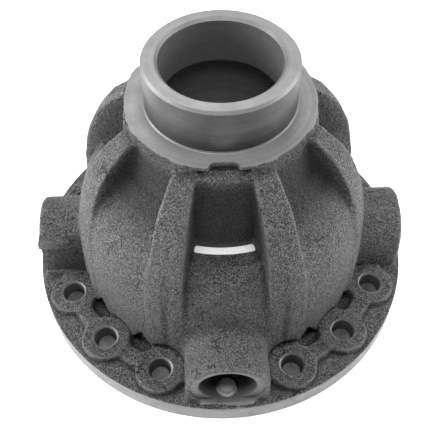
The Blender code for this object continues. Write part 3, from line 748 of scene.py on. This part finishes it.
def slit_outline():
    """Curved slot with rounded ends, about +X."""
    reach, corner, steps = CHANNEL_EDGE - math.radians(0.2), 1.0, 15
    points = []
    for radius, inward, end in ((SLIT[1], -corner, reach), (SLIT[0], corner, -reach)):
        for i, angle in enumerate(np.linspace(-end, end, steps)):
            inset = corner / radius if i in (0, steps - 1) else 0.0
            points.append(polar(radius, angle - math.copysign(inset, angle)))
        points += [polar(radius + inward, end), polar(sum(SLIT) - radius - inward, end)]
    return points


def drilled(metal, cast):
    """Cutters for the cross bores, spot faces, locking holes, bolt holes and slits."""
    sides, outward = 64, [radial(a) for a in QUARTERS]
    bore = prism("cross_bore", circle(PIN_BORE, sides), 60.0, BOSS_FACE + 1.0, metal)
    copies(bore, outward)
    seat, clear = BOSS_FACE - SPOT_DEPTH, 130.0
    mouth = turned("bore_mouth", [(0.0, clear), (SPOT_RADIUS, clear), (SPOT_RADIUS, seat),
                                  (PIN_BORE + 0.6, seat), (PIN_BORE - 0.6, seat - 1.2),
                                  (0.0, seat - 1.2)], metal, sides)
    copies(mouth, outward)
    boolean(mouth, "INTERSECT", prism("above_flange", circle(140.0, 8), FLANGE_TOP + 0.3, 60.0, metal))
    lock = prism("lock_hole", circle(BOLT_HOLE, 40), -5.0, GEAR_CENTRE, metal)
    copies(lock, round_axis(LOCK_CIRCLE, QUARTERS))
    hole = prism("bolt_hole", circle(BOLT_HOLE, 40), -5.0, 30.0, metal)
    copies(hole, BOLT_PLACES)
    chamfer = turned("hole_chamfer", [(0.0, PAD_TOP + 1.0), (BOLT_HOLE + 1.7, PAD_TOP + 1.0),
                                      (BOLT_HOLE - 0.5, PAD_TOP - 1.2), (0.0, PAD_TOP - 1.2)], metal, 40)
    copies(chamfer, BOLT_PLACES)
    slit = prism("slit", slit_outline(), 86.0, 99.0, cast)
    copies(slit, round_axis(0.0, QUARTERS))
    return [bore, mouth, lock, hole, chamfer, slit]


def refinish(item, metal, ground, shoulder, face):
    """Gives the ground journal a darker finish than the turned faces."""
    mesh = item.data
    names = [material.name for material in mesh.materials]
    mesh.materials.append(ground)
    centres = np.zeros(len(mesh.polygons) * 3, np.float32)
    slots = np.zeros(len(mesh.polygons), np.int32)
    mesh.polygons.foreach_get("center", centres)
    mesh.polygons.foreach_get("material_index", slots)
    x, y, z = (centres.reshape(-1, 3) / MM).T
    low, high = sorted((shoulder, face))
    level = (z > low + 1.0) & (z < high - JOURNAL_CHAMFER)
    on_journal = level & (np.abs(np.hypot(x, y) - JOURNAL_RADIUS) < 0.6)
    machined = slots == names.index(metal.name)
    slots[machined & on_journal] = len(names)
    mesh.polygons.foreach_set("material_index", slots)


def build_flanged_case(cast, metal, ground, drill):
    quarter = Quarter(FLANGE_RADIUS + 3.0, -4.0, COLLAR_FACE + 4.0, CAST_STEP)
    case = surface_of("flanged_case_casting", quarter, case_field(quarter), cast)
    roughen(case, 1.0)
    boolean(case, "INTERSECT", case_envelope(metal))
    outline = [(x, -y) for x, y in NOTCH_EDGE] + NOTCH_EDGE[::-1]
    notch = prism("collar_notch", outline, NOTCH_FLOOR, COLLAR_FACE + 2.9, cast)
    copies(notch, round_axis(0.0, (SIDE_ANGLES["front"], SIDE_ANGLES["back"])))
    boolean(case, "UNION", prism("boss_crease", CREASE, 36.0, 48.4, cast))
    boolean(case, "DIFFERENCE", notch, prism("boss_set_in", SET_IN, PAD_TOP + 0.6, 43.5, cast))
    boolean(case, "UNION", journal_ring(metal, TOP_FACE, COLLAR_FACE))
    boolean(case, "DIFFERENCE", case_cavity(metal), *drilled(drill, cast))
    refinish(case, metal, ground, COLLAR_FACE, TOP_FACE)
    cast_shading(case)
    mark_recess_shade(case, RIB_SIDE, 12.0, SILL + 1.0)
    in_frame(case, "case", "cast_iron_case", "flanged_case")


# ---------------------------------------------------------------- lower case
LOWER_SIDE = [(54.8, -52.5), (54.8, -46.4), (66.0, -43.5), (77.0, -36.5), (86.0, -25.0), (90.5, -15.0),
              (92.5, -10.3), (92.5, -2.0)]
WEB_SIDE = [(50.0, -42.0), (52.0, -49.8), (66.0, -48.6), (78.0, -43.5), (88.0, -33.0), (93.0, -17.0),
            (93.0, -9.0), (84.0, -9.0), (70.0, -35.0)]
WEB_HALF = 4.6


def lower_field(q):
    """Bowl with eight webs under a flat flange, before it is machined."""
    bowl = profile_distance([(0.0, -2.0), (0.0, -52.5)] + LOWER_SIDE, q.r, q.z)
    upright = profile_distance(WEB_SIDE, q.r, q.z)
    sideways = np.minimum(q.side, q.r * np.abs(np.sin(q.turn - math.radians(45.0)))) - WEB_HALF
    webs = smooth_max(upright, sideways, 2.0)
    flange = np.maximum(q.r - LOWER_RADIUS - 1.5, np.maximum(q.z - 2.0, LOWER_FLANGE_BOTTOM - q.z))
    lip = np.maximum(q.r - REGISTER_RADIUS - 2.0, np.abs(q.z) - 5.5)
    return smooth_min(smooth_min(smooth_min(bowl, webs, 4.0), flange, 5.0), lip, 0.1)


def lower_envelope(metal):
    """All that the lathe leaves: register lip, joint face, rim and bearing shoulder."""
    core, lip, lip_radius, edge = 20.0, REGISTER_DEPTH - 0.4, REGISTER_RADIUS - 0.4, 0.6
    profile = [(core, lip), (lip_radius - edge, lip), (lip_radius, lip - edge), (lip_radius, 0.0),
               (LOWER_RADIUS - edge, 0.0), (LOWER_RADIUS, -edge), (LOWER_RADIUS, LOWER_SHOULDER + 1.0),
               (COLLAR_RADIUS, LOWER_SHOULDER + 1.0), (COLLAR_RADIUS, LOWER_SHOULDER + 0.4),
               (COLLAR_RADIUS - 0.4, LOWER_SHOULDER), (core, LOWER_SHOULDER)]
    return turned("lower_envelope", profile, metal)


def lower_cavity(metal):
    floor = GEAR_CENTRE - THRUST_DISTANCE
    first = math.degrees(math.acos((REGISTER_DEPTH + 4.0 - GEAR_CENTRE) / SEAT_RADIUS))
    last = 180.0 - lean(POCKET_RADIUS, SEAT_RADIUS)
    profile = [(0.0, REGISTER_DEPTH + 4.0)] + arc(SEAT_RADIUS, GEAR_CENTRE, first, last, 24)
    profile += [(POCKET_RADIUS, floor), (HUB_BORE, floor), (HUB_BORE, -46.0), (JOURNAL_BORE, -48.0),
                (JOURNAL_BORE, BOTTOM_FACE + 1.6), (JOURNAL_BORE + 4.1, BOTTOM_FACE - 2.5),
                (0.0, BOTTOM_FACE - 2.5)]
    return turned("lower_cavity", profile, metal)


def build_lower_case(cast, metal, ground):
    quarter = Quarter(LOWER_RADIUS + 3.0, -58.0, REGISTER_DEPTH + 4.0, 1.5 * CAST_STEP)
    case = surface_of("lower_case_casting", quarter, lower_field(quarter), cast)
    roughen(case, 2.0)
    boolean(case, "INTERSECT", lower_envelope(metal))
    boolean(case, "UNION", journal_ring(metal, BOTTOM_FACE, LOWER_SHOULDER))
    hole = prism("lower_bolt_hole", circle(BOLT_HOLE + 0.2, 40), -20.0, 8.0, metal)
    spot = prism("lower_spot_face", circle(13.4, 48), -30.0, LOWER_FLANGE_BOTTOM + 0.25, metal)
    boolean(case, "DIFFERENCE", lower_cavity(metal), copies(hole, BOLT_PLACES), copies(spot, BOLT_PLACES))
    refinish(case, metal, ground, LOWER_SHOULDER, BOTTOM_FACE)
    cast_shading(case)
    mark_recess_shade(case, WEB_SIDE[1:6], 40.0, -LOWER_FLANGE_BOTTOM + 2.0)
    in_frame(case, "case", "cast_iron_case", "lower_case")


# ---------------------------------------------------------------- bevel gears
def spherical_involute(cone_angle, base_angle):
    """Azimuth by which a spherical involute from base_angle has turned at cone_angle."""
    if cone_angle <= base_angle:
        return 0.0
    length = math.acos(math.cos(cone_angle) / math.cos(base_angle))
    return length / math.sin(base_angle) - math.atan2(math.tan(length), math.sin(base_angle))


def tooth_flank(teeth, pitch, tip, root):
    """(cone angle, half width in azimuth) pairs from a rounded root to a tip with broken edges."""
    base = math.asin(math.sin(pitch) * math.cos(PRESSURE_ANGLE))
    at_base = math.pi / (2 * teeth) - BACKLASH_ANGLE + spherical_involute(pitch, base)
    gap = math.pi / teeth
    fillet = math.radians(1.1)
    lowest = max(base, root + fillet)
    flank = []
    for turn in np.linspace(0.0, math.pi / 2, 5):
        width = at_base + (gap - at_base) * 0.45 * (1.0 - math.sin(turn))
        flank.append((root + fillet * (1.0 - math.cos(turn)), width))
    steps = 10
    for angle in np.linspace(lowest, tip - math.radians(0.35), steps):
        flank.append((angle, at_base - spherical_involute(angle, base)))
    last = flank[-1]
    flank.append((tip, last[1] - math.radians(0.5)))
    return flank


def toothed_cone(name, teeth, flank, first_tooth, metal):
    """Cone through the tooth outline, reaching past the gear at both ends."""
    outline = []
    for k in range(teeth):
        middle = first_tooth + 2 * math.pi * k / teeth
        outline += [(angle, middle - half) for angle, half in flank]
        outline += [(angle, middle + half) for angle, half in flank[::-1]]
    near, far = CONE_INNER * 0.6, CONE_OUTER * 1.6
    points = [(0.0, 0.0, 0.0), (0.0, 0.0, far * 1.4 * MM)]
    for distance in (near, far):
        points += [(*polar(distance * MM * math.sin(a), t), distance * MM * math.cos(a)) for a, t in outline]
    count = len(outline)
    faces = []
    for i in range(count):
        one, two = 2 + i, 2 + (i + 1) % count
        faces += [(one, one + count, two + count, two), (0, one, two), (1, two + count, one + count)]
    star = mesh_object(name, points, faces, metal)
    shape = bmesh.new()
    shape.from_mesh(star.data)
    bmesh.ops.recalc_face_normals(shape, faces=shape.faces)
    shape.to_mesh(star.data)
    shape.free()
    return star


def on_cone(distance, angle):
    return (distance * math.sin(angle), distance * math.cos(angle))


def gear_angles(own_teeth, mate_teeth, addendum, mate_addendum):
    pitch = math.atan2(own_teeth, mate_teeth)
    tip = pitch + math.atan2(addendum, CONE_OUTER)
    root = pitch - math.atan2(mate_addendum + ROOT_CLEARANCE, CONE_OUTER)
    return pitch, tip, root


def spline_outline(teeth, minor, major):
    """Internal spline with straight-sided grooves and small root corners."""
    groove = ((-0.30, 0.0), (-0.22, 0.85), (-0.17, 1.0), (0.17, 1.0), (0.22, 0.85), (0.30, 0.0))
    return [polar(minor + (major - minor) * share, 2 * math.pi * (k + offset) / teeth)
            for k in range(teeth) for offset, share in groove]


def side_gear(metal):
    """Blank of the CAD gear, with rounded corners, finer teeth and a splined bore."""
    angles = gear_angles(SIDE_TEETH, PINION_TEETH, SIDE_ADDENDUM, PINION_ADDENDUM)
    root, over = angles[2], angles[1] + math.radians(3.0)
    back = THRUST_DISTANCE - WASHER_THICKNESS - 2 * GAP
    hub_end, hub, corner = 70.0, HUB_BORE - 0.4, 1.2
    minor, major, edge = 22.3, 24.5, 65.5
    foot = CONE_INNER * math.cos(root) + 1.5
    blank = turned("side_gear", [
        (minor + 1.4, hub_end), (hub - corner, hub_end), (hub, hub_end - corner), (hub, back),
        (edge - 1.5, back), (edge, back - 1.5), (edge, 56.7), on_cone(CONE_OUTER, root - math.radians(0.6)),
        on_cone(CONE_OUTER, over), on_cone(CONE_INNER, over), on_cone(CONE_INNER, root - math.radians(0.6)),
        (minor + 1.4, foot), (minor, foot + 1.4), (minor, hub_end - 1.4)], metal, 12 * SIDE_TEETH)
    flank = tooth_flank(SIDE_TEETH, *angles)
    boolean(blank, "INTERSECT", toothed_cone("side_star", SIDE_TEETH, flank, 0.0, metal))
    spline = prism("spline", spline_outline(20, minor - 1.0, major), 20.0, 80.0, metal)
    return smooth(boolean(blank, "DIFFERENCE", spline))


def pinion_gear(metal):
    angles = gear_angles(PINION_TEETH, SIDE_TEETH, PINION_ADDENDUM, SIDE_ADDENDUM)
    root, over = angles[2], angles[1] + math.radians(3.0)
    back = SEAT_RADIUS - SEAT_GAP - WASHER_THICKNESS - GAP
    hub, bore, corner = 31.8, PIN_RADIUS + 0.3, 0.8
    foot = CONE_INNER * math.cos(root) + 0.5
    profile = arc(back, 0.0, lean(bore + corner, back), lean(hub - corner, back), 10)
    profile += [(hub, profile[-1][1] - corner), (hub, 68.5), on_cone(CONE_OUTER, root - math.radians(0.8)),
                on_cone(CONE_OUTER, over), on_cone(CONE_INNER, over),
                on_cone(CONE_INNER, root - math.radians(0.8)), (bore + corner, foot), (bore, foot + corner),
                (bore, profile[0][1] - corner)]
    blank = turned("pinion", profile, metal, 16 * PINION_TEETH)
    flank = tooth_flank(PINION_TEETH, *angles)
    star = toothed_cone("pinion_star", PINION_TEETH, flank, math.pi / PINION_TEETH, metal)
    return smooth(boolean(blank, "INTERSECT", star))


def place_copy(source, finish, place, body, slot, node):
    """A copy of a finished shape as a piece of its own, named after the CAD node it stands for."""
    item = new_object(node + finish, source.data.copy())
    item.data.transform(place)
    return in_frame(item, body, slot, node)


def discard(*items):
    for item in items:
        bpy.data.objects.remove(item, do_unlink=True)


def build_gears(steel):
    gear, pinion = side_gear(steel), pinion_gear(steel)
    for end, place in UPPER_AND_LOWER.items():
        name = end + "_side_gear"
        place_copy(gear, "_cut", place, name, "gear_steel", name)
    for side, degrees in SIDE_ANGLES.items():
        name = "pinion_" + side
        place_copy(pinion, "_cut", radial(degrees), name, "gear_steel", name)
    discard(gear, pinion)


# ---------------------------------------------------------------- washers, pins and fasteners
def build_washers(steel, bronze):
    top, low = THRUST_DISTANCE - GAP, THRUST_DISTANCE - GAP - WASHER_THICKNESS
    edge, bore = 0.3, HUB_BORE + 1.0
    flat = smooth(turned("flat_washer", [
        (bore + edge, top), (WASHER_RADIUS - edge, top), (WASHER_RADIUS, top - edge),
        (WASHER_RADIUS, low + edge), (WASHER_RADIUS - edge, low), (bore + edge, low),
        (bore, low + edge), (bore, top - edge)], steel))
    for end, place in UPPER_AND_LOWER.items():
        place_copy(flat, "_ground", place, "case", "hardened_steel", end + "_thrust_washer")
    outside = SEAT_RADIUS - SEAT_GAP
    inside = outside - WASHER_THICKNESS
    hole, rim = PIN_RADIUS + 0.5, 34.0
    profile = arc(outside, 0.0, lean(hole + edge, outside), lean(rim - edge, outside), 12)
    profile += arc(inside, 0.0, lean(rim - edge, inside), lean(hole + edge, inside), 12)
    dished = smooth(turned("dished_washer", profile, bronze, 96))
    for side, degrees in SIDE_ANGLES.items():
        place_copy(dished, "_pressed", radial(degrees), "case", "bronze_washer", "pinion_washer_" + side)
    discard(flat, dished)


def pin_shape(name, low, high, metal):
    """Ground pin with chamfered, slightly rounded ends and centre holes from turning."""
    edge, hole, depth = 1.2, 3.4, 4.5
    profile = [(0.0, high - depth), (0.7, high - depth + 0.6), (hole, high), (PIN_RADIUS - edge - 0.3, high),
               (PIN_RADIUS - 0.35 * edge, high - 0.35 * edge), (PIN_RADIUS, high - edge - 0.3),
               (PIN_RADIUS, low + edge + 0.3), (PIN_RADIUS - edge - 0.3, low), (0.0, low)]
    return smooth(turned(name, profile, metal, 96))


def build_pins(metal):
    long_pin = pin_shape("long_pin", -PIN_END, PIN_END, metal)
    short_pin = pin_shape("short_pin", PIN_RADIUS + 0.5, PIN_END, metal)
    for name, source, side in (("long_cross_pin", long_pin, "front"),
                               ("short_cross_pin_right", short_pin, "right"),
                               ("short_cross_pin_left", short_pin, "left")):
        place_copy(source, "_ground", radial(SIDE_ANGLES[side]), "case", "hardened_steel", name)
    discard(long_pin, short_pin)


def threaded_rod(name, low, high, metal, pitch=2.0, depth=0.55, ends=1.2):
    """Rod along Z with a helical thread that runs out into chamfers at both ends."""
    sides, per_turn = 40, 6
    levels = np.linspace(low, high, int((high - low) / pitch * per_turn) + 1)
    points, faces = [(0.0, 0.0, low * MM)], []
    for z in levels:
        chamfer = np.clip((min(z - low, high - z)) / ends, 0.0, 1.0)
        for k in range(sides):
            phase = (z / pitch - k / sides) % 1.0
            groove = depth * (1.0 - abs(2.0 * phase - 1.0))
            radius = min(BOLT_SHANK - groove, BOLT_SHANK - 1.3 * (1.0 - chamfer)) * MM
            points.append((*polar(radius, 2 * math.pi * k / sides), z * MM))
    points.append((0.0, 0.0, high * MM))
    top = len(points) - 1
    for k in range(sides):
        n = (k + 1) % sides
        faces.append((0, 1 + n, 1 + k))
        faces.append((top, top - sides + k, top - sides + n))
        for row in range(len(levels) - 1):
            a, b = 1 + row * sides, 1 + (row + 1) * sides
            faces.append((a + k, a + n, b + n, b + k))
    return mesh_object(name, points, faces, metal)


def bolt_shape(metal):
    """Hexagon head with a washer face and chamfered corners, on a threaded shank."""
    seat = LOWER_FLANGE_BOTTOM - 0.3
    head_height, across, washer_face = 8.4, 21.0, 0.6
    corner = across / 2 / math.cos(math.pi / 6)
    low = seat - head_height
    head = prism("bolt_head", circle(corner, 6), low, seat - washer_face, metal)
    head.data.transform(about_z(30.0))
    crown = turned("crown", [(0.0, seat + 1.0), (corner + 2.0, seat + 1.0), (corner + 2.0, low + 2.6),
                             (across / 2 - 0.6, low), (0.0, low)], metal, 96)
    boolean(head, "INTERSECT", crown)
    collar = prism("washer_face", circle(across / 2 - 0.4, 64), seat - washer_face - 0.2, seat, metal)
    boolean(head, "UNION", collar, threaded_rod("bolt_thread", seat - 1.0, BOLT_TIP, metal))
    return smooth(head, 40.0)


def lock_screw_shape(metal):
    """Socket set screw: hexagon socket at its lower end, smooth dog point in the cross bore."""
    low, dog, edge = 0.8, 4.9, 0.7
    screw = threaded_rod("lock_thread", low, LOCK_TIP - 3.0, metal)
    point = turned("dog_point", [(0.0, LOCK_TIP), (dog - edge, LOCK_TIP), (dog, LOCK_TIP - edge),
                                 (dog, LOCK_TIP - 5.0), (0.0, LOCK_TIP - 5.0)], metal, 64)
    socket = prism("socket", circle(3.5, 6), low - 2.0, low + 7.0, metal)
    boolean(screw, "UNION", point)
    return smooth(boolean(screw, "DIFFERENCE", socket), 40.0)


def build_fasteners(phosphate, zinc):
    bolt = bolt_shape(phosphate)
    for number, place in enumerate(BOLT_PLACES, start=1):
        place_copy(bolt, "_threaded", place, "case", "dark_fastener", "flange_bolt_%02d" % number)
    screw = lock_screw_shape(zinc)
    for side, place in zip(SIDE_ANGLES, round_axis(LOCK_CIRCLE, SIDE_ANGLES.values())):
        place_copy(screw, "_threaded", place, "case", "zinc_screw", "lock_screw_" + side)
    discard(bolt, screw)


def build_block(steel):
    """Cross block with rounded edges, bored for the pins both ways."""
    half, edge = BLOCK_HALF, 3.0
    outline = []
    for x, y, start in ((1, 1, 0), (-1, 1, 90), (-1, -1, 180), (1, -1, 270)):
        outline += round_corner((x * (half - edge), y * (half - edge)), edge, start, start + 90, 4)
    block = prism("cross_pin_block_bored", outline, GEAR_CENTRE - half, GEAR_CENTRE + half, steel)
    for degrees in (0.0, 90.0):
        bore = prism("block_bore", circle(PIN_BORE, 64), -40.0, 40.0, steel)
        bore.data.transform(radial(degrees))
        boolean(block, "DIFFERENCE", bore)
    in_frame(smooth(block), "case", "hardened_steel", "cross_pin_block")


# ---------------------------------------------------------------- studio
WORLD_LIGHT = (0.003, 0.015)
FLOOR_GLOW = 0.45
PANELS = (("left_panel", (-0.75, 0.00, 0.35), (0.6, 0.6), 10.5),
          ("right_panel", (0.75, 0.05, 0.35), (0.6, 0.6), 7.0),
          ("back_panel", (-0.10, 0.48, 1.00), (0.7, 0.5), 6.0),
          ("top_panel", (0.0, -0.16, 1.00), (0.4, 0.4), 6.5))


def build_studio():
    """Soft panels round the object, and a dim world, darker in front, which the camera sees as white."""
    world = bpy.data.worlds.new("studio")
    bpy.context.scene.world = world
    nodes = Nodes(world, "Background", "Generated")
    glow = nodes.spread(nodes.split()[1], -0.7, 0.8, *WORLD_LIGHT)
    seen = nodes.node("ShaderNodeLightPath").outputs["Is Camera Ray"]
    nodes.feed(nodes.shader.inputs["Strength"], nodes.maths("MAXIMUM", seen, glow))
    nodes.feed(nodes.shader.inputs["Color"], grey(1.0))
    for name, place, size, power in PANELS:
        lamp = bpy.data.lights.new(name, "AREA")
        lamp.shape = "RECTANGLE"
        lamp.size, lamp.size_y = size
        lamp.energy = power
        item = new_object(name, lamp)
        item.location = place
        aim = Vector((0.0, 0.0, 0.13)) - Vector(place)
        item.rotation_mode = "QUATERNION"
        item.rotation_quaternion = aim.to_track_quat("-Z", "Y")
    bpy.context.scene.view_settings.view_transform = "Standard"


def build_floor():
    paint = Paint("pale_floor", 0.9, 0.0)
    paint.shader.inputs["Base Color"].default_value = grey(0.95)
    paint.shader.inputs["Emission Color"].default_value = grey(1.0)
    paint.shader.inputs["Emission Strength"].default_value = FLOOR_GLOW
    half = 25.0
    corners = [(-half, -half, 0.0), (half, -half, 0.0), (half, half, 0.0), (-half, half, 0.0)]
    floor = mesh_object("floor", corners, [(0, 1, 2, 3)], paint.material)


def build_camera():
    data = bpy.data.cameras.new("camera")
    data.sensor_width = 36.0
    data.lens = 57.75
    camera = new_object("camera", data)
    camera.location = (-0.0112, -0.2910, DATUM + 0.4109)
    camera.rotation_euler = [math.radians(a) for a in (38.254, 0.104, -1.953)]
    bpy.context.scene.camera = camera


build_camera()
build_studio()
build_floor()
cast_iron = cast_iron_material()
turned_iron = machined_material("fine_turned_iron", 0.18, 0.25, 0.46, 0.5, 0.02, 0.15, 0.4)
ground_iron = machined_material("ground_iron", 0.06, 0.085, 0.40, 0.4, 0.02, 0.045, 0.5)
drilled_iron = machined_material("drilled_iron", 0.15, 0.22, 0.50, 0.5, 0.05, 0.11, 0.35)
ground_steel = machined_material("bright_ground_steel", 0.88, 0.95, 0.45, 0.4, 0.02, 0.88, 0.1)
pin_steel = machined_material("phosphated_pin_steel", 0.09, 0.13, 0.42, 0.4, 0.02, 0.07)
gear_metal = plain_metal_material("case_hardened_gear_steel", (0.24, 0.24, 0.25), 0.38, 0.9, 0.6)
bronze = plain_metal_material("thrust_bronze", (0.46, 0.29, 0.13), 0.40, 0.9, 0.6)
phosphate = plain_metal_material("phosphated_bolt_steel", (0.09, 0.09, 0.095), 0.45, 0.5, 0.5)
zinc = plain_metal_material("bright_zinc_plate", (0.93, 0.94, 0.95), 0.45, 0.15, 0.9)
build_flanged_case(cast_iron, turned_iron, ground_iron, drilled_iron)
build_lower_case(cast_iron, turned_iron, ground_iron)
build_gears(gear_metal)
build_washers(ground_steel, bronze)
build_pins(pin_steel)
build_block(pin_steel)
build_fasteners(phosphate, zinc)
